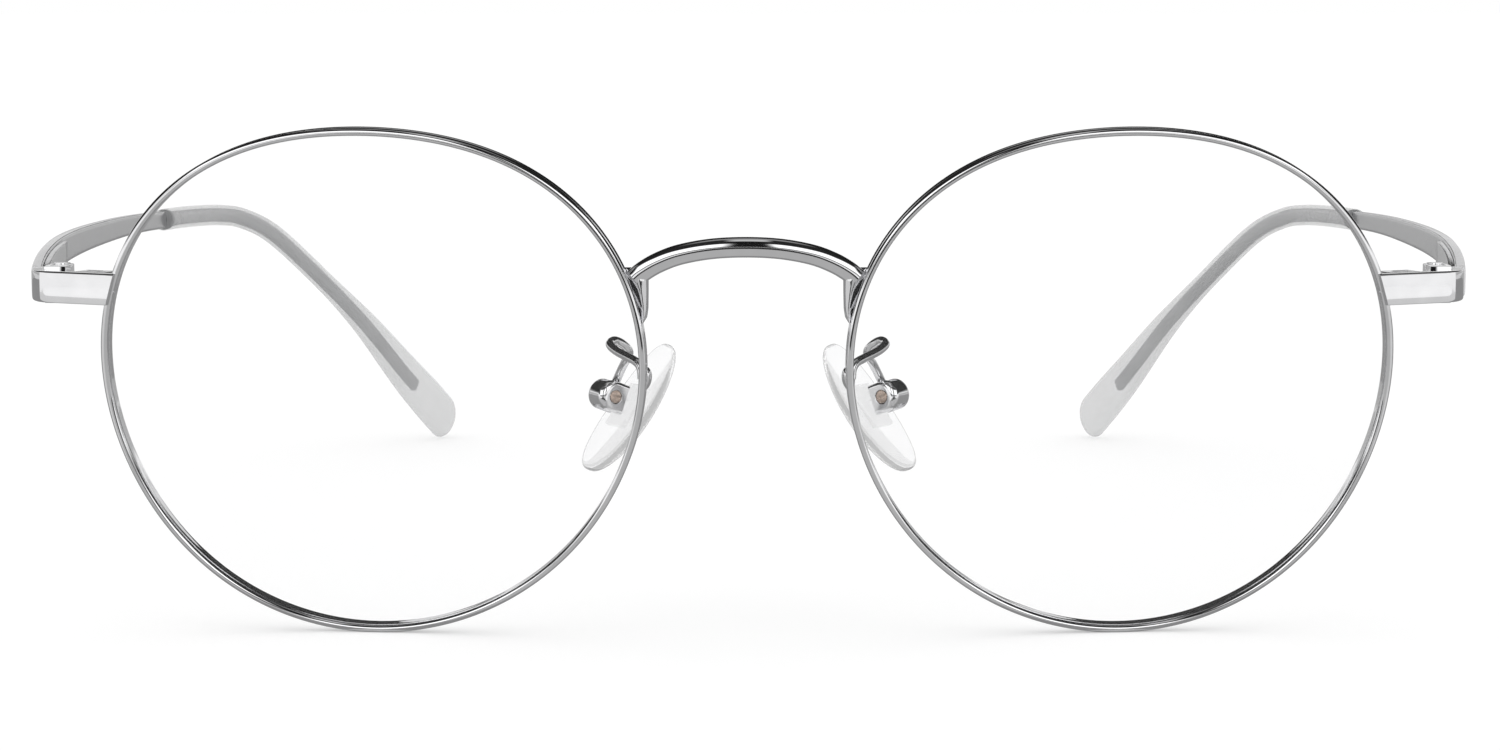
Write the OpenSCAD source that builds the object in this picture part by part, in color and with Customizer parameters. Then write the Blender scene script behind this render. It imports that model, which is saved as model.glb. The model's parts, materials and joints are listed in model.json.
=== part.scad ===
// Round wire eyeglasses: two eyewires, a bridge, adjustable nose pads, swept-back end pieces and
// folding temples with moulded tips. Millimetres.
// The glasses look along -Y. The wearer's left side is at +X, and the right side is its mirror image.
// They stand open on a table at Z = 0, on the two eyewires and the two temple tips.

/* [Eyewires] */
// Mean outer radius of one eyewire
rim_r = 25.39; // [25:0.01:25.8]
// Distance between the two eyewires where they are closest
bridge_gap = 18.8; // [18.4:0.1:19.2]
// Thickness of the eyewire seen from the front
rim_t = 0.72; // [0.7:0.01:0.9]
// Depth of the eyewire from front to back
rim_d = 1.75; // [1.6:0.05:1.9]
// Depth of the groove that holds the lens
groove = 0.34; // [0.28:0.01:0.38]
// Angle by which the front leans forward at the top
tilt = 8; // [7:0.25:9]
// Angle by which each eyewire turns back at its outer side
wrap = 5; // [4:0.25:6]

/* [Lenses] */
// Thickness of the lens
lens_t = 1.3; // [1.1:0.05:1.4]
// Radius of the lens surfaces, its base curve
lens_curve = 130; // [110:1:260]

/* [End pieces and hinges] */
// Height of the end piece
end_h = 3; // [2.8:0.05:3.1]
// Thickness of the end piece
end_t = 1.2; // [1.1:0.05:1.25]
// Angle by which the end piece sweeps back from the front
sweep = 25; // [23:0.5:26]
// Height of the whole hinge
hinge_h = 3.5; // [3.4:0.05:3.9]
// Radius of the hinge knuckles
knuckle_r = 1.15; // [1.05:0.01:1.18]
// Radius of the hinge screw's shank
hinge_pin_r = 0.5; // [0.45:0.01:0.55]

/* [Temples] */
// Height of the temple strip at the hinge
strip_h = 2.9; // [2.7:0.05:3.1]
// Thickness of the temple strip
strip_t = 1.1; // [1:0.05:1.15]
// Radius of the slim part of the temple tip
tip_r = 1.26; // [1.25:0.01:1.4]
// Width of the paddle at the end of the temple tip
paddle_w = 6.1; // [5.4:0.1:6.4]
// Thickness of the paddle
paddle_t = 3; // [2.8:0.1:3.3]

/* [Nose pads] */
// Length of a nose pad
pad_l = 14.9; // [14:0.1:15]
// Width of a nose pad
pad_w = 6.9; // [6.6:0.1:7.2]
// Thickness of a nose pad
pad_t = 2.2; // [2:0.05:2.4]
// Radius of the wire of the pad arm
arm_r = 0.47; // [0.42:0.01:0.5]

/* [Hidden] */
$fn = 48;
chrome = [0.80, 0.80, 0.81];
clear = [0.93, 0.94, 0.95, 0.4];
brass = [0.66, 0.58, 0.50];

// The whole pair is moved along Y so that its origin is the middle of its footprint.
front_y = -69.5;
// Height of the end pieces, hinges and the front of the temples
hinge_z = 33.25;
// Height of the centre of an eyewire, up along the leaning front
eye_z = 24.69;
eye_x = bridge_gap / 2 + rim_r + 0.6;
eye_y = (rim_r + 0.5) * sin(wrap);
// Direction on the eyewire where the end piece meets it and the eyewire is split
split_a = 18.3;
split_gap = 0.2;
rim_steps = 72;

function unit(v) = v / norm(v);

// The outline of an eyewire: a circle, a little wider than tall and flatter on top.
// Angles are measured from the outer side, upwards.
function rim_out(a) = rim_r + 0.72 * cos(2 * a) - 0.11 * sin(2 * a) + 0.57 * sin(3 * a)
    - 0.115 * cos(3 * a) - 0.15 * cos(4 * a);
function on_rim(a, out, back) = [(rim_out(a) + out) * cos(a), back, (rim_out(a) + out) * sin(a)];

// Joins a row of rings of points into one solid. Closed rows run back into their first ring.
module skin(rings) {
    m = len(rings[0]);
    n = len(rings);
    sides = [for (i = [0:n - 2], j = [0:m - 1]) let (a = i * m, b = a + m, k = (j + 1) % m)
        each [[a + j, a + k, b + k], [a + j, b + k, b + j]]];
    ends = [[for (j = [m - 1:-1:0]) j], [for (j = [0:m - 1]) (n - 1) * m + j]];
    polyhedron(points = [for (r = rings) each r], faces = concat(sides, ends), convexity = 6);
}
function reversed(v) = [for (i = [len(v) - 1:-1:0]) v[i]];

// A smooth curve through control points, with the given number of steps between neighbours.
function knot(p, i) = i < 0 ? 2 * p[0] - p[1]
    : i >= len(p) ? 2 * p[len(p) - 1] - p[len(p) - 2] : p[i];
function between(a, b, c, d, t) = 0.5 * (2 * b + (c - a) * t + (2 * a - 5 * b + 4 * c - d) * t * t
    + (3 * b - a - 3 * c + d) * t * t * t);
function curve(p, steps) = concat([for (i = [0:len(p) - 2], s = [0:steps - 1])
    between(knot(p, i - 1), p[i], p[i + 1], knot(p, i + 2), s / steps)], [p[len(p) - 1]]);
function heading(p, i) = unit(p[min(i + 1, len(p) - 1)] - p[max(i - 1, 0)]);
function ramp(x, a, b) = let (t = max(0, min(1, (x - a) / (b - a)))) t * t * (3 - 2 * t);

// An oval ring across a path. side is half its size level with the ground, up is the other half.
// power 1 gives an ellipse, and a smaller one squares it off.
function oval(c, t, side, up, steps, ref = [0, 0, 1], power = 1) =
    let (s = unit(cross(t, ref)), u = cross(s, t))
    [for (k = [0:steps - 1]) let (a = 360 * k / steps, x = cos(a), y = sin(a))
        c + side * sign(x) * pow(abs(x), power) * s + up * sign(y) * pow(abs(y), power) * u];

// Places: the leaning front, the plane of an eyewire, the end piece and the hinge
module on_front() translate([0, front_y, 0]) rotate([tilt, 0, 0]) children();
module on_eye() on_front() translate([eye_x, eye_y, eye_z]) rotate([0, 0, wrap]) children();
module on_end_piece() translate([60.2, front_y - 0.5, hinge_z]) rotate([0, 0, sweep]) children();
hinge_x = 66.3;
hinge_y = 8.3;
module on_hinge() translate([hinge_x, front_y + hinge_y, hinge_z]) children();
// A point of an eyewire's plane, as seen from the leaning front
function eye_to_front(p) = [eye_x + p[0] * cos(wrap) - p[1] * sin(wrap),
    eye_y + p[0] * sin(wrap) + p[1] * cos(wrap), eye_z + p[2]];

module left() children();
module right() mirror([1, 0, 0]) children();

// ---- Front: eyewires and lenses

// Section of the eyewire, as [outward from the outline, back from the front face]
edge = 0.12;
mouth = 0.42;
rim_section = [[0.1 - rim_t, 0], [-rim_t, edge], [-rim_t, rim_d / 2 - mouth],
    [groove - rim_t, rim_d / 2], [-rim_t, rim_d / 2 + mouth], [-rim_t, rim_d - edge],
    [0.1 - rim_t, rim_d], [-0.26, rim_d], [-0.07, rim_d - 0.14], [0, rim_d - 0.45], [0, 0.45],
    [-0.07, 0.14], [-0.26, 0]];

module rim() {
    span = 360 - split_gap;
    color(chrome) on_eye() skin([for (i = [0:rim_steps])
        let (a = split_a + split_gap / 2 + span * i / rim_steps)
        [for (q = rim_section) on_rim(a, q[0], q[1])]]);
}

module lens() {
    face = -rim_t - 0.08;
    mid = rim_d / 2;
    bevel = 0.34;
    function bulge(share) = rim_r * rim_r * (1 - share * share) / (2 * lens_curve);
    // Rings as [share of the radius, distance from the outline, place back from the front]
    shape = [[0.02, face, mid - lens_t / 2], [0.55, face, mid - lens_t / 2], [1, face, mid - lens_t / 2],
        [1, face, mid - bevel], [1, face + groove - 0.02, mid], [1, face, mid + bevel],
        [1, face, mid + lens_t / 2], [0.55, face, mid + lens_t / 2], [0.02, face, mid + lens_t / 2]];
    color(clear) on_eye() skin([for (q = shape) [for (i = [0:rim_steps - 1])
        let (p = on_rim(split_a + 360 * i / rim_steps, q[1], 0))
        [p[0] * q[0], q[2] - bulge(q[0]), p[2] * q[0]]]]);
}

// ---- Front: bridge

bridge_side = 0.8;
bridge_up = 0.96;
// Half of the arch, from the middle to the eyewire
arch = [[0, 0.15, 37.95], [3.2, 0.2, 37.78], [6.1, 0.4, 37.2], [8.1, 0.6, 36.4], [9.5, 0.75, 35.55],
    [10.3, 0.85, 34.85]];
arch_path = concat(reversed(arch), [for (i = [1:len(arch) - 1]) [-arch[i][0], arch[i][1], arch[i][2]]]);

// The foot that lies along the nose side of the eyewire and tapers to its lower end
foot_back = 1.4;
foot_t = 1.2;
foot_top = 155.5;
foot_end = 167;
module bridge_foot() {
    along = [for (a = [foot_top:(foot_end - foot_top) / 6:foot_end]) eye_to_front(on_rim(a, 0.01, foot_back))];
    nose_edge = [[9.6, 30.75], [9.3, 31.2], [9.12, 32], [9.02, 33.6], [9, 35.4]];
    translate([0, foot_back, 0]) rotate([90, 0, 0]) linear_extrude(foot_t)
        polygon(concat([for (p = along) [p[0], p[2]]], nose_edge));
}

module bridge() {
    path = curve(arch_path, 4);
    last = len(path) - 1;
    color(chrome) on_front() union() {
        skin([for (i = [0:last]) oval(path[i], heading(path, i), bridge_side, bridge_up, 12,
            ref = [0, 1, 0], power = 0.85)]);
        bridge_foot();
        mirror([1, 0, 0]) bridge_foot();
    }
}

// ---- Front: end piece and the lock that closes the split eyewire

plate_l = 7.55;
corner_r = 1.8;
leg_l = 4.2;
// Angle by which the side of the glasses flares outward behind the front
flare = 8;
leg_turn = 90 - sweep - flare;
butt_gap = 0.12;

// The space taken by the eyewire, which the end piece and its lock meet
module up_to_eyewire() on_eye() rotate([0, -split_a, 0])
    translate([rim_out(split_a) - 8, -6, -6]) cube([8.02, 14, 12]);

module end_piece() {
    out = corner_r + end_t / 2;
    color(chrome) difference() {
        on_end_piece() translate([0, 0, -end_h / 2]) linear_extrude(end_h) union() {
            translate([-1.5, 0]) square([plate_l + 1.6, end_t]);
            translate([plate_l, out]) intersection() {
                difference() {
                    circle(out);
                    circle(out - end_t);
                }
                polygon([[0, 0], [0, -5], [5, -5], [5, 0], 5 * [cos(leg_turn - 90), sin(leg_turn - 90)]]);
            }
            translate([plate_l, out]) rotate(leg_turn - 90) translate([out - end_t, -0.05])
                square([end_t, leg_l + 0.05]);
        }
        up_to_eyewire();
        translate([60, front_y + hinge_y - butt_gap, hinge_z - 3]) cube([12, 6, 6]);
    }
}

lock_x = 3;
lock_y = 2.35;
lock_l = 3.6;
lock_w = 2.2;
lock_screw_r = 0.45;
lock_head_r = 0.75;
lock_head_h = 0.3;

module lock_half(side) {
    color(chrome) difference() {
        on_end_piece() difference() {
            mirror([0, 0, side]) translate([1, end_t, 0.04]) cube([lock_l, lock_w, end_h / 2 - 0.04]);
            translate([lock_x, lock_y, -end_h]) cylinder(r = lock_screw_r, h = 2 * end_h);
            translate([lock_x, lock_y, end_h / 2 - lock_head_h]) cylinder(r = lock_head_r, h = end_h);
        }
        up_to_eyewire();
    }
}

module lock_screw() {
    color(chrome) on_end_piece() translate([lock_x, lock_y, 0]) difference() {
        union() {
            translate([0, 0, -end_h / 2]) cylinder(r = lock_screw_r, h = end_h - lock_head_h);
            translate([0, 0, end_h / 2 - lock_head_h]) cylinder(r = lock_head_r, h = lock_head_h);
        }
        translate([-1, -0.1, end_h / 2 - 0.15]) cube([2, 0.2, 1]);
    }
}

// ---- Hinge: two knuckles on the front, one on the temple, and the screw they turn on

play = 0.04;
knuckle_h = (hinge_h - 2 * play) / 3;
head_h = 0.45;
head_r = 0.8;

module hinge_front() {
    base = 2.05;
    color(chrome) difference() {
        on_hinge() difference() {
            union() {
                translate([-1.1, -1.3 - base, -hinge_h / 2]) cube([2.6, base, hinge_h]);
                for (z = [-hinge_h / 2, hinge_h / 2 - knuckle_h]) translate([0, 0, z]) {
                    cylinder(r = knuckle_r, h = knuckle_h);
                    translate([-knuckle_r, -1.4, 0]) cube([2 * knuckle_r, 1.4, knuckle_h]);
                }
            }
            translate([0, 0, -hinge_h]) cylinder(r = hinge_pin_r, h = 2 * hinge_h);
            translate([0, 0, hinge_h / 2 - head_h + 0.1]) cylinder(r = head_r, h = 1);
        }
        // The base stops at the inner face of the end piece's leg.
        on_end_piece() translate([plate_l, corner_r + end_t / 2, -5]) rotate([0, 0, leg_turn - 90])
            translate([corner_r - end_t / 2 - 0.01, -5, 0]) cube([5, 20, 10]);
    }
}

module hinge_screw() {
    color(chrome) on_hinge() difference() {
        union() {
            translate([0, 0, -hinge_h / 2]) cylinder(r = hinge_pin_r, h = hinge_h - head_h + 0.1);
            translate([0, 0, hinge_h / 2 - head_h + 0.1]) cylinder(r = head_r, h = head_h);
        }
        translate([-1, -0.12, hinge_h / 2 - 0.1]) cube([2, 0.24, 1]);
    }
}

// ---- Temples: a strip that narrows to the wire core inside the moulded tip

temple_path = [[68.75, 8.3, 33.3], [69.7, 14, 33.9], [70.4, 20, 34.45], [71, 28, 34.9],
    [71.2, 38, 35.2], [70.9, 50, 35.35], [70.4, 61, 35.3], [69.6, 73, 35], [68.4, 84, 34.7],
    [66.9, 94, 34.2], [65.1, 100, 33.4], [62.3, 106, 31], [58.3, 115.5, 25.1], [53.7, 125, 17.9],
    [49.3, 134, 9.9], [45.4, 142.5, 3.1]];
temple_line = curve([for (p = temple_path) p + [0, front_y, 0]], 4);
line_end = len(temple_line) - 1;
// Steps along temple_line where the tip starts, where the core inside it ends, and of the hinge leaf
tip_start = 28;
core_end = 57;
leaf_end = 11;

function strip_side(i) = strip_t / 2 - 0.1 * ramp(i, 12, tip_start);
function strip_up(i) = strip_h / 2 - 0.44 * ramp(i, 10, tip_start) - 0.2 * ramp(i, tip_start, tip_start + 2);
function strip_heading(i) = i == 0 ? [0, 1, 0] : heading(temple_line, i);

module temple() {
    color(chrome) skin([for (i = [0:core_end])
        oval(temple_line[i], strip_heading(i), strip_side(i), strip_up(i), 16, power = 0.4)]);
}

// The leaf of the hinge on the inner face of the strip, and the knuckle at its front
leaf_t = 0.5;
module hinge_temple() {
    h = knuckle_h - play;
    color(chrome) union() {
        skin([for (i = [0:leaf_end])
            let (t = strip_heading(i), c = temple_line[i], s = unit(cross([0, 0, 1], t)),
                up = strip_up(i) - 0.25, a = strip_side(i) + 0.01, b = a + leaf_t)
            [c + b * s + [0, 0, up - 0.1], c + b * s - [0, 0, up - 0.1], c + a * s - [0, 0, up],
                c + a * s + [0, 0, up]]]);
        on_hinge() translate([0, 0, -h / 2]) difference() {
            union() {
                cylinder(r = knuckle_r, h = h);
                translate([0, 0.05, 0]) cube([1.6, 2.4, h]);
            }
            translate([0, 0, -1]) cylinder(r = hinge_pin_r + play, h = h + 2);
        }
    }
}

// How far the tip has widened into its paddle, from 0 at its slim part to 1 at its widest
function paddle(i) = ramp(i, tip_start + 20, tip_start + 31);
function tip_ring(c, t, i, share) = oval(c, t, (tip_r + (paddle_t / 2 - tip_r) * paddle(i)) * share,
    (tip_r + (paddle_w / 2 - tip_r) * paddle(i)) * share, 16);

// One skin runs from the blind end of the bore out to its mouth and back over the outside.
module temple_tip() {
    clearance = 0.02;
    t = heading(temple_line, line_end);
    cap_l = paddle_w / 2.3;
    bore = [for (i = [core_end:-1:tip_start])
        oval(temple_line[i] + (i == core_end ? 0.05 : 0) * heading(temple_line, i),
            heading(temple_line, i), strip_side(i) + clearance, strip_up(i) + clearance, 16, power = 0.4)];
    body = [for (i = [tip_start:line_end]) tip_ring(temple_line[i], heading(temple_line, i), i, 1)];
    cap = [for (s = [0.35, 0.62, 0.82, 0.94, 0.99])
        tip_ring(temple_line[line_end] + t * s * cap_l, t, line_end, sqrt(1 - s * s))];
    color(clear) skin(concat(bore, body, cap));
}

// ---- Nose pads: arm, box, screw, insert and the soft pad

pad_place = [11.7, front_y + 10, 20.85];
pad_splay = 36;
pad_lean = 39;
module on_pad() translate(pad_place) rotate([0, -pad_lean, -pad_splay]) children();
// The middle of the box, where its screw runs along local Y. The pad has rocked in its box to fit a nose.
box_out = 2.7;
box_down = -0.5;
pad_rocked = 18;
module at_screw() translate([box_out, 0, box_down]) children();
module on_box() on_pad() at_screw() rotate([0, pad_rocked, 0]) children();

box_l = 3.1;
box_w = 2.8;
box_h = 3;
box_slot = 1.4;
pad_screw_r = 0.35;
screw_head_r = 0.6;
module along_screw(from, to, r) rotate([90, 0, 0]) translate([0, 0, -to]) cylinder(r = r, h = to - from);

module pad_box() {
    color(chrome) on_box() difference() {
        union() {
            translate([-box_l / 2 + 0.2, -box_w / 2, -box_h / 2]) cube([box_l / 2, box_w, box_h]);
            translate([0.2, 0, 0]) along_screw(-box_w / 2, box_w / 2, box_h / 2);
        }
        translate([-box_l, -box_slot / 2, -box_h]) cube([box_l + 1.1, box_slot, 2 * box_h]);
        along_screw(-box_w, box_w, pad_screw_r);
        along_screw(-box_w, 0.3 - box_w / 2, screw_head_r + 0.08);
    }
}

module pad_screw() {
    color(brass) on_box() difference() {
        union() {
            along_screw(0.2 - box_w / 2, box_w / 2, pad_screw_r);
            along_screw(0.05 - box_w / 2, 0.3 - box_w / 2, screw_head_r);
        }
        translate([-1, -box_w / 2, -0.09]) cube([2, 0.18, 0.18]);
    }
}

lug_w = 1.2;
lug_r = 0.8;
module lug(grow) {
    translate([0.3, -lug_w / 2 - grow, box_down - lug_r - grow])
        cube([box_out - 0.3, lug_w + 2 * grow, 2 * (lug_r + grow)]);
}

module pad_insert() {
    color(clear) on_pad() difference() {
        union() {
            translate([-0.1, -1.5, -2.4]) cube([0.6, 3, 4.8]);
            lug(0);
            at_screw() along_screw(-lug_w / 2, lug_w / 2, lug_r);
        }
        at_screw() along_screw(-2, 2, pad_screw_r + play);
    }
}

pad_rings = 16;
module nose_pad() {
    clearance = 0.02;
    color(clear) on_pad() difference() {
        skin([for (i = [0:pad_rings])
            let (s = -0.985 + 1.97 * i / pad_rings, w = pow(1 - s * s, 0.42) * (1 - 0.1 * s),
                t = pow(1 - s * s, 0.3))
            [for (k = [0:15]) let (a = 360 * k / 16)
                [pad_t / 2 * t * cos(a) - 0.4 * (1 - s * s), -pad_w / 2 * w * sin(a), pad_l / 2 * s]]]);
        translate([-0.1 - clearance, -1.5 - clearance, -2.4 - clearance])
            cube([0.6 + 2 * clearance, 3 + 2 * clearance, 4.8 + 2 * clearance]);
        lug(clearance);
    }
}

arm_path = [[9.85, -1.2, 24.9], [10.1, -1.05, 26], [11.2, -0.1, 26.95], [12.5, 1.6, 27.7],
    [13.3, 3.4, 27.9], [13.1, 5, 27.4], [12.5, 6.2, 26.4], [12.4, 7.2, 25.3], [12.85, 8.3, 24.25],
    [13.1, 8.75, 23.5]];

module pad_arm() {
    path = curve([for (p = arm_path) p + [0, front_y, 0]], 4);
    color(chrome) skin([for (i = [0:len(path) - 1])
        oval(path[i], heading(path, i), arm_r, arm_r, 10, ref = unit([1, 0.5, 0]))]);
}

// ---- What is drawn

bridge();

left() rim();  // left_rim
left() lens();  // left_lens
left() end_piece();  // left_end_piece
left() lock_half(0);  // left_lock_upper
left() lock_half(1);  // left_lock_lower
left() lock_screw();  // left_lock_screw
left() hinge_front();  // left_hinge_front
left() hinge_screw();  // left_hinge_screw
left() pad_arm();  // left_pad_arm
left() pad_box();  // left_pad_box
left() pad_screw();  // left_pad_screw
left() pad_insert();  // left_pad_insert
left() nose_pad();  // left_nose_pad
left() hinge_temple();  // left_hinge_temple
left() temple();  // left_temple
left() temple_tip();  // left_temple_tip

right() rim();  // right_rim
right() lens();  // right_lens
right() end_piece();  // right_end_piece
right() lock_half(0);  // right_lock_upper
right() lock_half(1);  // right_lock_lower
right() lock_screw();  // right_lock_screw
right() hinge_front();  // right_hinge_front
right() hinge_screw();  // right_hinge_screw
right() pad_arm();  // right_pad_arm
right() pad_box();  // right_pad_box
right() pad_screw();  // right_pad_screw
right() pad_insert();  // right_pad_insert
right() nose_pad();  // right_nose_pad
right() hinge_temple();  // right_hinge_temple
right() temple();  // right_temple
right() temple_tip();  // right_temple_tip
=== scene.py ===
import json
import math

import bmesh
import bpy
import numpy as np
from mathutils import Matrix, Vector


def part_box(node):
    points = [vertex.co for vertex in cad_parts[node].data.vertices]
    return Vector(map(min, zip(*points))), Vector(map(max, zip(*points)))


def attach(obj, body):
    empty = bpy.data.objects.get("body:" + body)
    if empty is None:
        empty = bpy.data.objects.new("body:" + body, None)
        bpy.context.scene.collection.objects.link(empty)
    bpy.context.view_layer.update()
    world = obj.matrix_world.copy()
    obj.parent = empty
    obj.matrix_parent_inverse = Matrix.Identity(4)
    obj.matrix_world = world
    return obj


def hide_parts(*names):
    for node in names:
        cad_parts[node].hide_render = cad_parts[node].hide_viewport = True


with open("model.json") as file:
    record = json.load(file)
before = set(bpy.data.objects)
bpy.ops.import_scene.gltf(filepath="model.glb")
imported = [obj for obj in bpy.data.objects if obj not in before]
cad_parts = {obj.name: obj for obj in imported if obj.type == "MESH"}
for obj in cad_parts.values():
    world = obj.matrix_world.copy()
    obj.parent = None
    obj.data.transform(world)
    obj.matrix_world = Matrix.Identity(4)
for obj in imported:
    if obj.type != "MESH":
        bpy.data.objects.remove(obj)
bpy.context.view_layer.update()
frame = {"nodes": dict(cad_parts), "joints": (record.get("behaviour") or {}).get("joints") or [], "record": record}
MM = 0.001
BODY = {n: b for b, nodes in frame["record"]["behaviour"]["bodies"].items() for n in nodes}
JOINTS = {j["name"]: j for j in frame["joints"]}
SIDES = (("left", 1), ("right", -1))

# ---- The object's own dimensions, in millimetres and degrees
# They are those of the CAD part, but for PLATE_L, CORNER_R and ARM_R, which are refined here, and for
# BOX_FLAT and BOX_ROUND, which shape the pad box and have no match there.

HINGE_BACK = 8.3
EYE_SHIFT, EYE_UP = 0.19, 24.69
PLATE_X, PLATE_FORWARD = 60.2, 0.5
RIM_R, RIM_T, RIM_D, GROOVE = 25.39, 0.72, 1.75, 0.34
TILT, WRAP, SPLIT_A = 8.0, 5.0, 18.3
LENS_T, LENS_CURVE = 1.3, 130.0
END_H, END_T, SWEEP, PLATE_L, CORNER_R, LEG_TURN = 3.0, 1.2, 25.0, 7.06, 2.7, 57.0
STRIP_H, STRIP_T, TIP_R, PADDLE_W, PADDLE_T = 2.9, 1.1, 1.26, 6.1, 3.0
TIP_START, CORE_END, LINE_STEPS = 28, 57, 4
PAD_L, PAD_W, PAD_T, PAD_LEAN, PAD_SPLAY, ARM_R = 14.9, 6.9, 2.2, 39.0, 36.0, 0.42
PAD_ROCKED, BOX_OUT, BOX_DOWN, BOX_FLAT, BOX_ROUND, RECESS_R = 18.0, 2.7, -0.5, 0.75, 0.65, 0.72

HINGE = np.array(JOINTS["left_temple_fold"]["pos_m"]) / MM
FRONT_Y = HINGE[1] - HINGE_BACK
rim_low, rim_high = (np.array(c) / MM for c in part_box("left_rim"))
EYE_X = (rim_low[0] + rim_high[0]) / 2 + EYE_SHIFT
EYE_Y = (RIM_R + 0.5) * math.sin(math.radians(WRAP))
EYE_Z = EYE_UP + rim_low[2]
PAD_PLACE = np.array([11.7, FRONT_Y + 10, 20.85])


def turn(axis, degrees):
    """The matrix of a turn about one axis."""
    c, s = math.cos(math.radians(degrees)), math.sin(math.radians(degrees))
    return {"x": np.array([[1, 0, 0], [0, c, -s], [0, s, c]]),
            "y": np.array([[c, 0, s], [0, 1, 0], [-s, 0, c]]),
            "z": np.array([[c, -s, 0], [s, c, 0], [0, 0, 1]])}[axis]


def on_front(p):
    """From the plane of the front, which leans back, to the object."""
    return np.asarray(p, float) @ turn("x", TILT).T + [0, FRONT_Y, 0]


def on_eye(p):
    """From the middle of the left rim, which is turned towards the ear, to the object."""
    return on_front(np.asarray(p, float) @ turn("z", WRAP).T + [EYE_X, EYE_Y, EYE_Z])


def on_end_piece(p):
    """From the inner end of the left end piece, with X along its plate, to the object."""
    return np.asarray(p, float) @ turn("z", SWEEP).T + [PLATE_X, FRONT_Y - PLATE_FORWARD, HINGE[2]]


def on_pad(p):
    """From the middle of the left nose pad, with Z along it, to the object."""
    return np.asarray(p, float) @ (turn("z", -PAD_SPLAY) @ turn("y", -PAD_LEAN)).T + PAD_PLACE


def rim_out(a):
    """The rim's outer radius at an angle: nearly a circle, a little wider and flatter on top."""
    a = np.radians(a)
    return (RIM_R + 0.72 * np.cos(2 * a) - 0.11 * np.sin(2 * a) + 0.57 * np.sin(3 * a)
            - 0.115 * np.cos(3 * a) - 0.15 * np.cos(4 * a))


def on_rim(a, out, back):
    """Points at an angle round the rim, beyond its outer edge and behind its front."""
    r = rim_out(a) + out
    return np.stack(np.broadcast_arrays(r * np.cos(np.radians(a)), back, r * np.sin(np.radians(a))), -1)


def smooth_step(x, a, b):
    """Rises smoothly from 0 at a to 1 at b."""
    t = np.clip((np.asarray(x, float) - a) / (b - a), 0, 1)
    return t * t * (3 - 2 * t)


def curve(points, steps):
    """A Catmull-Rom curve through the points, with its headings."""
    p = np.asarray(points, float)
    p = np.vstack([2 * p[0] - p[1], p, 2 * p[-1] - p[-2]])
    line = []
    for a, b, c, d in zip(p, p[1:], p[2:], p[3:]):
        for t in np.arange(steps) / steps:
            line.append(0.5 * (2 * b + (c - a) * t + (2 * a - 5 * b + 4 * c - d) * t * t
                               + (3 * b - a - 3 * c + d) * t ** 3))
    line = np.array(line + [p[-2]])
    ahead = np.vstack([line[1:], line[-1:]]) - np.vstack([line[:1], line[:-1]])
    return line, ahead / np.linalg.norm(ahead, axis=1)[:, None]


def rounded(corners, radii, steps=4):
    """A closed outline with each corner rounded off."""
    c = np.asarray(corners, float)
    n = len(c)
    out = []
    for i in range(n):
        r = radii[i] if hasattr(radii, "__len__") else radii
        before, after = c[i - 1] - c[i], c[(i + 1) % n] - c[i]
        lb, la = np.linalg.norm(before), np.linalg.norm(after)
        a = c[i] + before / lb * min(r, lb * 0.49)
        b = c[i] + after / la * min(r, la * 0.49)
        for t in np.linspace(0, 1, steps):
            out.append((1 - t) ** 2 * a + 2 * t * (1 - t) * c[i] + t * t * b)
    return np.array(out)


def oval(centre, heading, side, up, steps, ref=(0, 0, 1), power=1.0):
    """A ring across a heading. A power under 1 squares it."""
    s = np.cross(heading, ref)
    s = s / np.linalg.norm(s)
    u = np.cross(s, heading)
    a = 2 * np.pi * np.arange(steps) / steps
    x, y = np.cos(a), np.sin(a)
    x, y = np.sign(x) * np.abs(x) ** power, np.sign(y) * np.abs(y) ** power
    return centre + side * x[:, None] * s + up * y[:, None] * u


def make(name, vertices, faces, sharp=38):
    """An object from points in millimetres, smooth but for edges sharper than an angle."""
    mesh = bpy.data.meshes.new(name)
    mesh.from_pydata([tuple(v) for v in np.asarray(vertices, float) * MM], [], faces)
    bm = bmesh.new()
    bm.from_mesh(mesh)
    bmesh.ops.remove_doubles(bm, verts=bm.verts, dist=1e-7)
    bmesh.ops.recalc_face_normals(bm, faces=bm.faces)
    bm.to_mesh(mesh)
    bm.free()
    mesh.polygons.foreach_set("use_smooth", [True] * len(mesh.polygons))
    mesh.set_sharp_from_angle(angle=math.radians(sharp))
    obj = bpy.data.objects.new(name, mesh)
    bpy.context.scene.collection.objects.link(obj)
    return obj


def loft(rings):
    """Joins rings of points into one surface, with its ends closed."""
    rings = np.asarray(rings, float)
    n, m = rings.shape[:2]
    faces = []
    for i in range(n - 1):
        for j in range(m):
            k, l = (j + 1) % m, i + 1
            faces.append((i * m + j, i * m + k, l * m + k, l * m + j))
    faces += [tuple(range(m))[::-1], tuple((n - 1) * m + j for j in range(m))]
    return rings.reshape(-1, 3), faces


def dress(obj, body, material, nodes=()):
    """Gives a piece its material and the body it rides on, and hides the CAD nodes it stands for."""
    obj.data.materials.clear()
    obj.data.materials.append(material)
    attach(obj, body)
    if nodes:
        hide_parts(*nodes)
    return obj


def pair(base, shape, material, host=None, sharp=38):
    """The same piece on both sides, in place of the CAD nodes of its name.

    With a host it is an extra that rides on that CAD node's body.
    """
    vertices, faces = shape
    for side, k in SIDES:
        node = f"{side}_{host or base}"
        name = f"{side}_{base}_visual"
        obj = make(name, np.asarray(vertices) * [k, 1, 1], faces, sharp)
        dress(obj, BODY[node], material, [] if host else [node])


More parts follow.
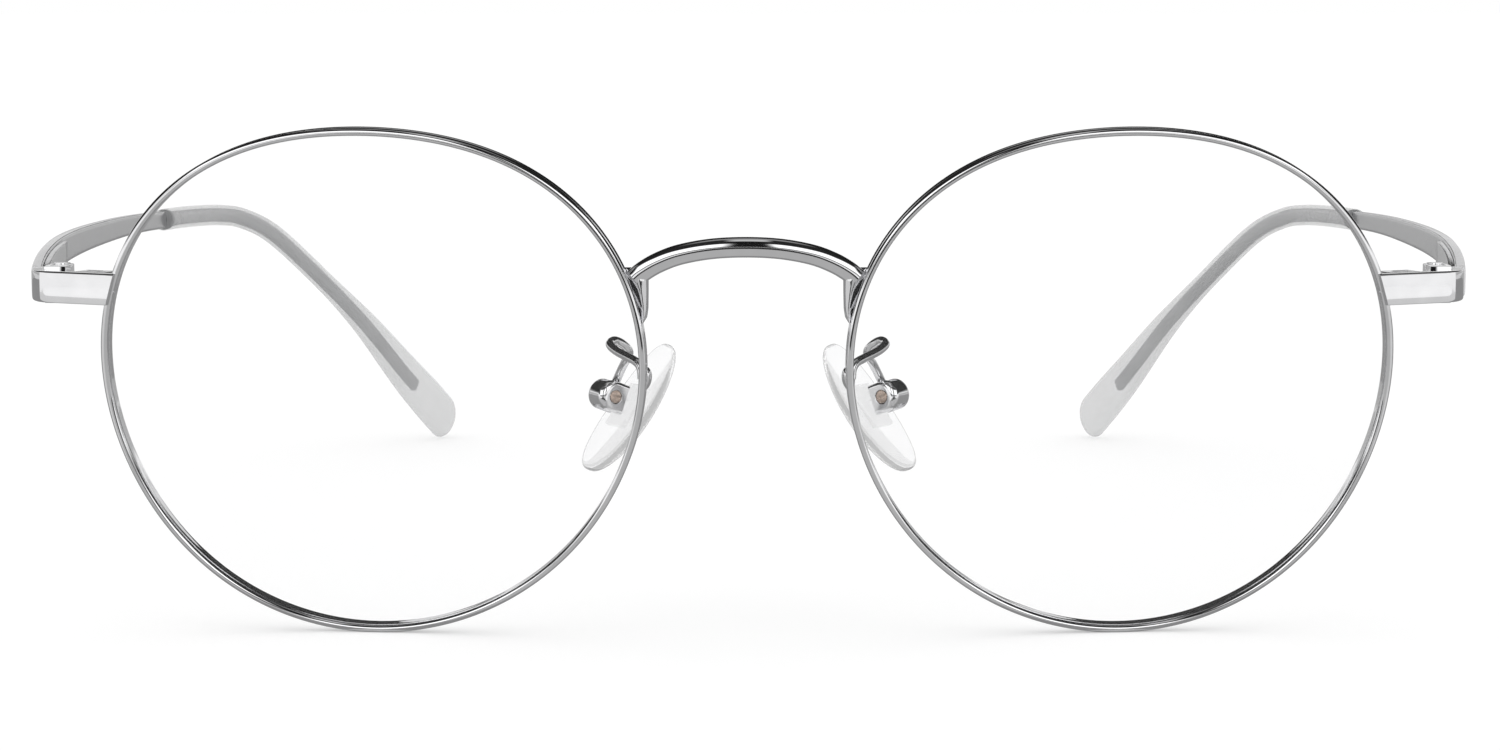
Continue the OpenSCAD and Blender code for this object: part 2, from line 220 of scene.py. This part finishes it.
def pillow(bm, k):
    """Rounds the pad box off towards both ends of its screw, most on the side away from the pad.

    The faces round the screw's recesses stay flat. It gives back the direction of the screw.
    """
    local = turn("z", -PAD_SPLAY) @ turn("y", PAD_ROCKED - PAD_LEAN)
    middle = on_pad([BOX_OUT, 0, BOX_DOWN])
    mirror = np.array([k, 1, 1])
    # Cuts that give the rounding its steps
    for y in (0.75, 0.92, 1.08, 1.2, 1.29, 1.36):
        for sign in (-1, 1):
            bmesh.ops.bisect_plane(bm, geom=bm.verts[:] + bm.edges[:] + bm.faces[:], dist=1e-7,
                                   plane_co=(middle + local[:, 1] * y * sign) * mirror * MM,
                                   plane_no=local[:, 1] * mirror)
    for v in bm.verts:
        x, y, z = (np.array(v.co) / MM * mirror - middle) @ local
        deep = min(max(abs(y) - BOX_FLAT, 0) / BOX_ROUND, 1)
        fall = (1 - math.sqrt(1 - deep * deep)) * float(smooth_step(math.hypot(x, z), RECESS_R, 1.0))
        x, z = x * (1 - (0.5 if x > 0 else 0.1) * fall), z * (1 - 0.22 * fall)
        v.co = Vector((local @ [x, y, z] + middle) * mirror * MM)
    return Vector(local[:, 1] * mirror)


def refined(base, material, bevel, sharp=30, shaped=None):
    """A CAD node's own shape with its edges rounded off, on both sides."""
    for side, k in SIDES:
        node = f"{side}_{base}"
        bm = bmesh.new()
        bm.from_mesh(frame["nodes"][node].data)
        bmesh.ops.remove_doubles(bm, verts=bm.verts, dist=2e-6)
        bmesh.ops.dissolve_limit(bm, angle_limit=math.radians(1), verts=bm.verts, edges=bm.edges)
        edges = [e for e in bm.edges if len(e.link_faces) == 2
                 and e.calc_face_angle(0) > math.radians(sharp)]
        bmesh.ops.bevel(bm, geom=edges, offset=bevel * MM, segments=3, profile=0.5,
                        affect="EDGES", clamp_overlap=True)
        axis = shaped(bm, k) if shaped else None
        mesh = bpy.data.meshes.new(node + "_visual")
        bm.to_mesh(mesh)
        bm.free()
        mesh.polygons.foreach_set("use_smooth", [True] * len(mesh.polygons))
        mesh.set_sharp_from_angle(angle=math.radians(sharp))
        for face in mesh.polygons if axis else ():
            face.use_smooth = abs(face.normal.dot(axis)) < 0.995
        obj = bpy.data.objects.new(node + "_visual", mesh)
        bpy.context.scene.collection.objects.link(obj)
        dress(obj, BODY[node], material, [node])


# ---- Materials


RELIEF = 0.02 * MM


def surface(name, dark, light, rough, scale=400.0, metallic=0.0, bump=0.0, **sockets):
    """A shader whose colour and roughness vary a little over the surface."""
    m = bpy.data.materials.new(name)
    m.use_nodes = True
    nt = m.node_tree
    shader = nt.nodes["Principled BSDF"]
    where = nt.nodes.new("ShaderNodeTexCoord")
    noise = nt.nodes.new("ShaderNodeTexNoise")
    noise.inputs["Scale"].default_value = scale
    noise.inputs["Detail"].default_value = 4
    nt.links.new(where.outputs["Object"], noise.inputs["Vector"])
    ramp = nt.nodes.new("ShaderNodeValToRGB")
    ramp.color_ramp.elements[0].position, ramp.color_ramp.elements[1].position = 0.3, 0.7
    ramp.color_ramp.elements[0].color, ramp.color_ramp.elements[1].color = (*dark, 1), (*light, 1)
    nt.links.new(noise.outputs["Fac"], ramp.inputs["Fac"])
    nt.links.new(ramp.outputs["Color"], shader.inputs["Base Color"])
    shine = nt.nodes.new("ShaderNodeMapRange")
    shine.inputs["From Min"].default_value, shine.inputs["From Max"].default_value = 0.3, 0.7
    shine.inputs["To Min"].default_value, shine.inputs["To Max"].default_value = rough
    nt.links.new(noise.outputs["Fac"], shine.inputs["Value"])
    nt.links.new(shine.outputs["Result"], shader.inputs["Roughness"])
    if bump:
        relief = nt.nodes.new("ShaderNodeBump")
        relief.inputs["Strength"].default_value = bump
        relief.inputs["Distance"].default_value = RELIEF
        nt.links.new(noise.outputs["Fac"], relief.inputs["Height"])
        nt.links.new(relief.outputs["Normal"], shader.inputs["Normal"])
    shader.inputs["Metallic"].default_value = metallic
    for key, value in sockets.items():
        shader.inputs[key.replace("_", " ")].default_value = value
    return m


polished = surface("polished_metal", (0.80, 0.80, 0.81), (0.86, 0.86, 0.87), (0.04, 0.07),
                   metallic=1.0)
satin = surface("satin_metal", (0.74, 0.74, 0.75), (0.80, 0.80, 0.81), (0.16, 0.22), scale=1200.0,
                metallic=1.0)
bronze = surface("bronze_screw", (0.42, 0.33, 0.27), (0.62, 0.50, 0.43), (0.18, 0.3), scale=2500.0,
                 metallic=1.0, bump=0.4)
lens_glass = surface("clear_lens", (0.96, 0.97, 0.97), (0.99, 0.99, 0.99), (0.01, 0.03), scale=30.0,
                     Alpha=0.02, IOR=1.5)
silicone = surface("clear_silicone", (0.90, 0.90, 0.91), (0.96, 0.96, 0.97), (0.04, 0.1), scale=300.0,
                   Transmission_Weight=1.0, IOR=1.12, Alpha=0.5)
insert_plastic = surface("clear_insert", (0.93, 0.94, 0.95), (1.0, 1.0, 1.0), (0.05, 0.12), scale=500.0,
                         Alpha=0.18, IOR=1.45)
tip_plastic = surface("frosted_tip", (0.60, 0.605, 0.61), (0.66, 0.665, 0.67), (0.16, 0.24), scale=250.0,
                      Alpha=0.4, IOR=1.46, Sheen_Weight=0.6, Sheen_Roughness=0.35)
# Painted shade: a near-black material for the ring that stands for the shade inside the tip's open end
mouth_painted_shade = surface("tip_mouth", (0.05, 0.05, 0.055), (0.10, 0.10, 0.11), (0.3, 0.45), scale=900.0)

# ---- Eyewires and lenses

# The section runs round the front, which is a half circle, then back along the inner side and round
# the square back edge to the outer side.
nose = np.radians(np.linspace(82, -82, 25))
section = np.vstack([np.stack([(np.sin(nose) - 1) * RIM_T / 2, (1 - np.cos(nose)) * RIM_T / 2], -1),
                     rounded([[-RIM_T, 0.5], [0.03 - RIM_T, RIM_D / 2], [-RIM_T, RIM_D - 0.12],
                              [0.1 - RIM_T, RIM_D], [-0.26, RIM_D], [-0.07, RIM_D - 0.14], [0, RIM_D - 0.45]],
                             [0.1, 0.5, 0.06, 0.06, 0.12, 0.12, 0.16], 4)])
angles = SPLIT_A + np.linspace(0.1, 359.9, 289)
pair("rim", loft([on_eye(on_rim(a, section[:, 0], section[:, 1])) for a in angles]), polished)

lens_edge, lens_mid, bevel_half = -RIM_T - 0.08, RIM_D / 2, 0.34
around = SPLIT_A + 360 * np.arange(144) / 144


def lens_ring(share, out, back):
    """A ring of the lens at a share of its radius, bulging forward towards the middle."""
    p = on_rim(around, out, 0)
    bulge = RIM_R ** 2 * (1 - share ** 2) / (2 * LENS_CURVE)
    return on_eye(np.stack([p[:, 0] * share, np.full(len(p), back - bulge), p[:, 2] * share], -1))


shares = [0.02, 0.2, 0.4, 0.6, 0.8, 0.93]
lens_front, lens_back = lens_mid - LENS_T / 2, lens_mid + LENS_T / 2
pair("lens", loft([lens_ring(s, lens_edge, lens_front) for s in shares + [1]]
                  + [lens_ring(1, lens_edge, lens_mid - bevel_half),
                     lens_ring(1, lens_edge + GROOVE - 0.02, lens_mid),
                     lens_ring(1, lens_edge, lens_mid + bevel_half)]
                  + [lens_ring(s, lens_edge, lens_back) for s in [1] + shares[::-1]]), lens_glass)

# ---- Bridge: a ridged arch and its two feet

arch = [[0, 0.15, 37.95], [3.2, 0.2, 37.78], [6.1, 0.4, 37.2], [8.1, 0.6, 36.4], [9.5, 0.75, 35.55],
        [10.3, 0.85, 34.85]]
arch_line, arch_heading = curve(arch[::-1] + [[-x, y, z] for x, y, z in arch[1:]], 10)
upper = [[0.8 * math.cos(t), 0.96 * math.sin(t)] for t in np.radians(np.arange(8, 173, 8))]
arch_section = np.array(upper + [[-0.8, 0.02], [-0.79, -0.06], [-0.62, -0.45], [-0.42, -0.78],
                                 [-0.28, -0.9], [-0.1, -0.96], [0.1, -0.96], [0.28, -0.9], [0.42, -0.78],
                                 [0.62, -0.45], [0.79, -0.06], [0.8, 0.02]])


def arch_ring(c, t):
    """The arch's section at a point, upright across its heading."""
    up = np.cross(t, [0, 1, 0])
    up = up / np.linalg.norm(up)
    up = up if up[2] > 0 else -up
    return c + arch_section[:, :1] * np.array([0, -1, 0]) + arch_section[:, 1:] * up


bridge = make("bridge_visual",
              *loft([on_front(arch_ring(c, t)) for c, t in zip(arch_line, arch_heading)]), 20)
dress(bridge, BODY["bridge"], polished, ["bridge"])


def foot_rings():
    """Flat rings down the left foot, each from its nose side to the rim that it is soldered to."""
    for a in np.linspace(155.2, 167.2, 25):
        p = on_rim(a, -0.2, 0)
        rim_x = EYE_X + p[0] * math.cos(math.radians(WRAP))
        z = EYE_Z + p[2]
        nose_x = np.interp(z, [30.5, 30.75, 31.2, 32, 33.6, 35.6], [9.75, 9.45, 9.18, 9.06, 9.02, 9.0])
        w = rim_x - nose_x
        top = smooth_step(z, 34.9, 35.6)
        yield rounded([[nose_x, 0.75], [nose_x + 0.12 * w, 0.3], [nose_x + 0.4 * w, 0.06 + 0.25 * top],
                       [rim_x, 1.15], [rim_x, 1.55], [nose_x + 0.1, 1.55]],
                      [0.12, 0.2, 0.1, 0.02, 0.02, 0.25], 5), z


for side, k in SIDES:
    rings = [on_front(np.stack([q[:, 0], q[:, 1], np.full(len(q), z)], -1)) * [k, 1, 1]
             for q, z in foot_rings()]
    foot = make(f"{side}_bridge_foot", *loft(rings), 24)
    dress(foot, BODY["bridge"], polished)

# ---- End pieces: a flat plate, a bend and a short leg with a crowned outer side

out_r = CORNER_R + END_T / 2


def end_ring(point, inward, shear, round_low):
    """A section across the end piece, from a point of its outer side inwards."""
    h = END_H / 2
    q = rounded([[0.05, -h], [END_T, -h], [END_T, h], [0.05, h], [0, 0.6 * h], [0, -0.6 * h]],
                [0.16 + round_low, 0.1, 0.1, 0.13, 0.3, 0.3 + round_low], 5)
    plan = point + q[:, :1] * inward
    return np.stack([plan[:, 0] - shear * q[:, 1], plan[:, 1], q[:, 1]], -1)


end_rings = []
for s in [-0.35, 0.6, 1.2, 2.2, 3.4, 4.6, 5.8, 6.6]:
    # The inner end slants with the rim beside it.
    slant = 0.33 * (1 - min(max(s - 0.6, 0) / 4, 1))
    end_rings.append(end_ring(np.array([s, 0]), np.array([0, 1]), slant, 0))
for t in np.linspace(0, LEG_TURN, 15):
    r = math.radians(t)
    end_rings.append(end_ring(np.array([PLATE_L + out_r * math.sin(r), out_r - out_r * math.cos(r)]),
                              np.array([-math.sin(r), math.cos(r)]), 0, 0.5 * t / LEG_TURN))
r = math.radians(LEG_TURN)
for s in [0.3, 1.1, 1.9, 2.7, 3.7]:
    base = np.array([PLATE_L + out_r * math.sin(r), out_r - out_r * math.cos(r)])
    end_rings.append(end_ring(base + s * np.array([math.cos(r), math.sin(r)]),
                              np.array([-math.sin(r), math.cos(r)]), 0, 0.5))
end_rings = on_end_piece(np.array(end_rings))
# The leg stops just short of the temple.
end_rings[..., 1] = np.minimum(end_rings[..., 1], HINGE[1] - 0.12)
pair("end_piece", loft(end_rings), polished, sharp=24)

for base, bevel in (("lock_upper", 0.1), ("lock_lower", 0.1), ("lock_screw", 0.05), ("hinge_front", 0.12),
                    ("hinge_screw", 0.08)):
    refined(base, polished, bevel)
refined("pad_box", polished, 0.07, shaped=pillow)
refined("pad_screw", bronze, 0.07)
refined("pad_insert", insert_plastic, 0.1)
refined("hinge_temple", satin, 0.1)

# ---- Temples: strip, the core that it becomes, and the moulded tip

temple_path = [[68.75, 8.3, 33.3], [69.7, 14, 33.9], [70.4, 20, 34.45], [71, 28, 34.9], [71.2, 38, 35.2],
               [70.9, 50, 35.35], [70.4, 61, 35.3], [69.6, 73, 35], [68.4, 84, 34.7], [66.9, 94, 34.2],
               [65.1, 100, 33.4], [62.3, 106, 31], [58.3, 115.5, 25.1], [53.7, 125, 17.9],
               [49.3, 134, 9.9], [45.4, 142.5, 3.1]]
FINE = 3
temple_line, temple_heading = curve(np.array(temple_path) + [0, FRONT_Y, 0], LINE_STEPS * FINE)
temple_heading[0] = [0, 1, 0]
LINE_END = (len(temple_line) - 1) // FINE


def strip_side(i):
    """Half the strip's thickness after i steps."""
    return STRIP_T / 2 - 0.1 * smooth_step(i, 12, TIP_START)


def strip_up(i):
    """Half the strip's height after i steps."""
    return (STRIP_H / 2 - 0.44 * smooth_step(i, 10, TIP_START)
            - 0.2 * smooth_step(i, TIP_START, TIP_START + 2))


pair("temple", loft([oval(temple_line[k], temple_heading[k], strip_side(k / FINE), strip_up(k / FINE),
                          40, power=0.3) for k in range(CORE_END * FINE + 1)]), satin, sharp=50)


def tip_ring(centre, heading, i, share):
    """A ring of the tip after i steps, at a share of its full size there."""
    wide = smooth_step(i, TIP_START + 20, TIP_START + 31)
    return oval(centre, heading, (TIP_R + (PADDLE_T / 2 - TIP_R) * wide) * share,
                (TIP_R + (PADDLE_W / 2 - TIP_R) * wide) * share, 40)


tip_rings = [oval(temple_line[k], temple_heading[k], strip_side(k / FINE) + 0.02, strip_up(k / FINE) + 0.02,
                  40, power=0.4) for k in range(CORE_END * FINE, TIP_START * FINE - 1, -FINE)]
first = TIP_START * FINE
for back, share in ((0, 0.86), (0, 0.95), (0.5, 1)):
    tip_rings.append(tip_ring(temple_line[first] + temple_heading[first] * back * 0.4,
                              temple_heading[first], TIP_START, share))
tip_rings += [tip_ring(temple_line[k], temple_heading[k], k / FINE, 1)
              for k in range(first + 2, LINE_END * FINE + 1)]
tip_rings += [tip_ring(temple_line[-1] + temple_heading[-1] * math.sin(t) * PADDLE_W / 2.3,
                       temple_heading[-1], LINE_END, math.cos(t))
              for t in np.radians([15, 30, 44, 57, 68, 77, 84])]
pair("temple_tip", loft(tip_rings), tip_plastic, sharp=50)

# Painted shade: a near-black ring where the strip enters the tip, standing for the shade and refraction inside the
# tip's open end
mouth = [oval(temple_line[first] + temple_heading[first] * s, temple_heading[first], r, r, 32)
         for s, r in ((0.25, 0.75), (0.25, 1.12), (0.45, 1.18), (0.95, 1.18), (1.2, 1.1), (1.2, 0.75))]
pair("tip_mouth", loft(mouth), mouth_painted_shade, host="temple_tip")

# ---- Nose pads and their arms


def pad_ring(s):
    """A ring across the pad, from -1 at its lower end to 1 at its upper end."""
    w = (1 - s * s) ** 0.42 * (1 - 0.1 * s)
    t = (1 - s * s) ** 0.3
    a = 2 * np.pi * np.arange(40) / 40
    x, y = np.cos(a), np.sin(a)
    return on_pad(np.stack([PAD_T / 2 * t * np.sign(x) * np.abs(x) ** 0.8 - 0.4 * (1 - s * s),
                            -PAD_W / 2 * w * y, np.full(40, PAD_L / 2 * s)], -1))


pair("nose_pad", loft([pad_ring(s) for s in np.sin(np.linspace(-1.4, 1.4, 41))]), silicone, sharp=60)

arm = [[9.85, -1.2, 24.9], [9.95, -0.95, 25.8], [10.33, -0.5, 26.37], [11.2, 0.6, 26.73], [12.27, 1.8, 27.13],
       [12.95, 2.9, 27.5], [13.12, 3.7, 27.78], [12.72, 4.6, 27.92], [12.0, 5.3, 27.5], [11.5, 5.9, 26.85],
       [11.5, 6.5, 26.2], [11.95, 7.1, 25.5], [12.4, 7.9, 24.6], [12.9, 8.7, 23.5]]
arm_line, arm_heading = curve(np.array(arm) + [0, FRONT_Y, 0], 8)
arm_ref = np.array([1, 0.5, 0]) / math.hypot(1, 0.5)
pair("pad_arm", loft([oval(c, t, ARM_R, ARM_R, 20, ref=arm_ref)
                      for c, t in zip(arm_line, arm_heading)]), polished, sharp=60)


def bead_ring(t):
    """A ring of the bead that holds the wire on the rim, at an angle from its middle."""
    a = 2 * np.pi * np.arange(24) / 24
    across = np.stack([0.62 * np.cos(a), 0.75 * np.sin(a), np.zeros(24)], -1) * math.cos(t)
    return [9.55, FRONT_Y - 1.0, 24.9] + np.array([0.12, 0.2, -1]) * 1.15 * math.sin(t) + across


pair("arm_foot", loft([bead_ring(t) for t in np.radians(np.linspace(-86, 86, 19))]), polished,
     host="pad_arm", sharp=60)

# ---- Floor, light and camera

# FAR is in metres
FAR, FLOOR_GLOW = 30.0, 0.34
floor_mesh = bpy.data.meshes.new("floor")
floor_mesh.from_pydata([(-FAR, -FAR, 0), (FAR, -FAR, 0), (FAR, FAR, 0), (-FAR, FAR, 0)], [],
                       [(0, 1, 2, 3)])
floor = bpy.data.objects.new("floor", floor_mesh)
bpy.context.scene.collection.objects.link(floor)
floor_paint = surface("pale_floor", (0.68, 0.68, 0.68), (0.70, 0.70, 0.70), (0.8, 0.9), scale=3.0,
                      Specular_IOR_Level=0.0)
floor_mesh.materials.append(floor_paint)
# The floor glows like a light table where it is seen directly or through clear plastic.
ft = floor_paint.node_tree
path = ft.nodes.new("ShaderNodeLightPath")
seen = ft.nodes.new("ShaderNodeMath")
seen.operation = "MAXIMUM"
ft.links.new(path.outputs["Is Camera Ray"], seen.inputs[0])
ft.links.new(path.outputs["Is Transmission Ray"], seen.inputs[1])
glow = ft.nodes.new("ShaderNodeMath")
glow.operation = "MULTIPLY"
glow.inputs[1].default_value = FLOOR_GLOW
ft.links.new(seen.outputs["Value"], glow.inputs[0])
ft.links.new(glow.outputs["Value"], ft.nodes["Principled BSDF"].inputs["Emission Strength"])
ft.nodes["Principled BSDF"].inputs["Emission Color"].default_value = (1, 1, 1, 1)

world = bpy.data.worlds.new("studio")
bpy.context.scene.world = world
world.use_nodes = True
wt = world.node_tree
where = wt.nodes.new("ShaderNodeTexCoord")
parts = wt.nodes.new("ShaderNodeSeparateXYZ")
wt.links.new(where.outputs["Generated"], parts.inputs["Vector"])


def bands(source, stops):
    """Grey levels along a number from 0 to 1."""
    ramp = wt.nodes.new("ShaderNodeValToRGB")
    ramp.color_ramp.interpolation = "EASE"
    while len(ramp.color_ramp.elements) > 1:
        ramp.color_ramp.elements.remove(ramp.color_ramp.elements[-1])
    for i, (at, level) in enumerate(stops):
        e = ramp.color_ramp.elements[0] if i == 0 else ramp.color_ramp.elements.new(at)
        e.position = at
        e.color = (level, level, level, 1)
    wt.links.new(source, ramp.inputs["Fac"])
    return ramp.outputs["Color"]


def blend(factor, a, b):
    """Goes from a to b as the factor goes from 0 to 1."""
    mix = wt.nodes.new("ShaderNodeMix")
    mix.data_type = "RGBA"
    wt.links.new(factor, [i for i in mix.inputs if i.type == "VALUE"][0])
    for value, socket in zip((a, b), [i for i in mix.inputs if i.type == "RGBA"]):
        wt.links.new(value, socket)
    return [o for o in mix.outputs if o.type == "RGBA"][0]


def spread(source, low, high):
    """Goes smoothly from 0 to 1 as the source goes from low to high."""
    node = wt.nodes.new("ShaderNodeMapRange")
    node.interpolation_type = "SMOOTHSTEP"
    node.inputs["From Min"].default_value, node.inputs["From Max"].default_value = low, high
    wt.links.new(source, node.inputs["Value"])
    return node.outputs["Result"]


aside = wt.nodes.new("ShaderNodeMath")
aside.operation = "ABSOLUTE"
wt.links.new(parts.outputs["X"], aside.inputs[0])
# Grey levels against the sine of the elevation: straight in front, to either side of that, at the side
# walls, and behind
ahead = bands(parts.outputs["Z"], [(0.0, 0.01), (0.82, 0.01), (0.9, 0.6)])
flank = bands(parts.outputs["Z"], [(0.0, 0.02), (0.05, 0.02), (0.12, 1.3), (0.2, 1.5), (0.5, 1.5),
                                   (0.62, 0.02)])
side_wall = bands(parts.outputs["Z"], [(0.0, 1.0), (0.1, 0.9), (0.2, 0.1), (0.28, 0.02)])
behind = bands(parts.outputs["Z"], [(0.0, 0.45), (0.1, 0.5), (0.14, 0.95), (0.18, 0.8), (0.24, 0.15),
                                    (0.29, 0.012), (0.9, 0.015), (0.97, 0.3)])
front = blend(spread(aside.outputs["Value"], 0.72, 0.82),
              blend(spread(aside.outputs["Value"], 0.05, 0.13), ahead, flank), side_wall)
# Only reflections show these bands, and all other light comes evenly from a white tent
mirrored = wt.nodes.new("ShaderNodeLightPath")
tent = wt.nodes.new("ShaderNodeRGB")
tent.outputs[0].default_value = (1, 1, 1, 1)
wt.links.new(blend(mirrored.outputs["Is Glossy Ray"], tent.outputs[0],
                   blend(spread(parts.outputs["Y"], -0.2, 0.1), front, behind)),
             wt.nodes["Background"].inputs["Color"])
wt.nodes["Background"].inputs["Strength"].default_value = 1.0


def card(name, corners, level):
    """A glowing card that only shows in reflections."""
    mesh = bpy.data.meshes.new(name)
    mesh.from_pydata([tuple(np.array(c) * MM) for c in corners], [], [(0, 1, 2, 3)])
    obj = bpy.data.objects.new(name, mesh)
    bpy.context.scene.collection.objects.link(obj)
    mesh.materials.append(surface(name, (0, 0, 0), (0.01, 0.01, 0.01), (0.9, 1.0),
                                  Emission_Color=(1, 1, 1, 1), Emission_Strength=level))
    obj.visible_camera = obj.visible_diffuse = obj.visible_transmission = obj.visible_shadow = False


def floor_card(name, x, y, level):
    """A card that lies on the floor, over a range of x and a range of y from the front of the rims."""
    card(name, [(x[0], FRONT_Y + y[0], 0.3), (x[1], FRONT_Y + y[0], 0.3), (x[1], FRONT_Y + y[1], 0.3),
                (x[0], FRONT_Y + y[1], 0.3)], level)


floor_card("front_card", (-82, 82), (-76, -1), 0.46)
floor_card("dark_card", (-74, 74), (-1200, -77), 0.012)
floor_card("back_card", (-600, 600), (-1, 330), 0.27)
floor_card("far_card", (-900, 900), (331, 1600), 0.42)
BACK_Y, WALL_X = FRONT_Y + 310, 420
for side, k in SIDES:
    card(f"{side}_back_card", [(k * 100, BACK_Y, 90), (k * 210, BACK_Y, 90),
                               (k * 210, BACK_Y, 165), (k * 100, BACK_Y, 165)], 0.75)
    floor_card(f"{side}_floor_card", (k * 84, k * WALL_X), (-420, -101), 1.0)
    floor_card(f"{side}_grey_card", (k * 84, k * WALL_X), (-100, -1), 0.66)
    card(f"{side}_card", [(k * WALL_X, FRONT_Y - 420, 0.5), (k * WALL_X, FRONT_Y - 10, 0.5),
                          (k * WALL_X, FRONT_Y - 10, 90), (k * WALL_X, FRONT_Y - 420, 90)], 1.0)

bpy.context.scene.view_settings.view_transform = "Standard"

CAMERA_X, CAMERA_AWAY, CAMERA_Z, CAMERA_DOWN = 6, 300, 59.53, 6.54
camera_data = bpy.data.cameras.new("camera")
camera_data.lens = 76.8
camera_data.sensor_width = 36
camera_data.shift_x = -0.0404
camera = bpy.data.objects.new("camera", camera_data)
bpy.context.scene.collection.objects.link(camera)
camera.location = Vector((CAMERA_X, FRONT_Y - CAMERA_AWAY, CAMERA_Z)) * MM
camera.rotation_euler = (math.radians(90 - CAMERA_DOWN), 0, 0)
bpy.context.scene.camera = camera

bpy.context.view_layer.update()
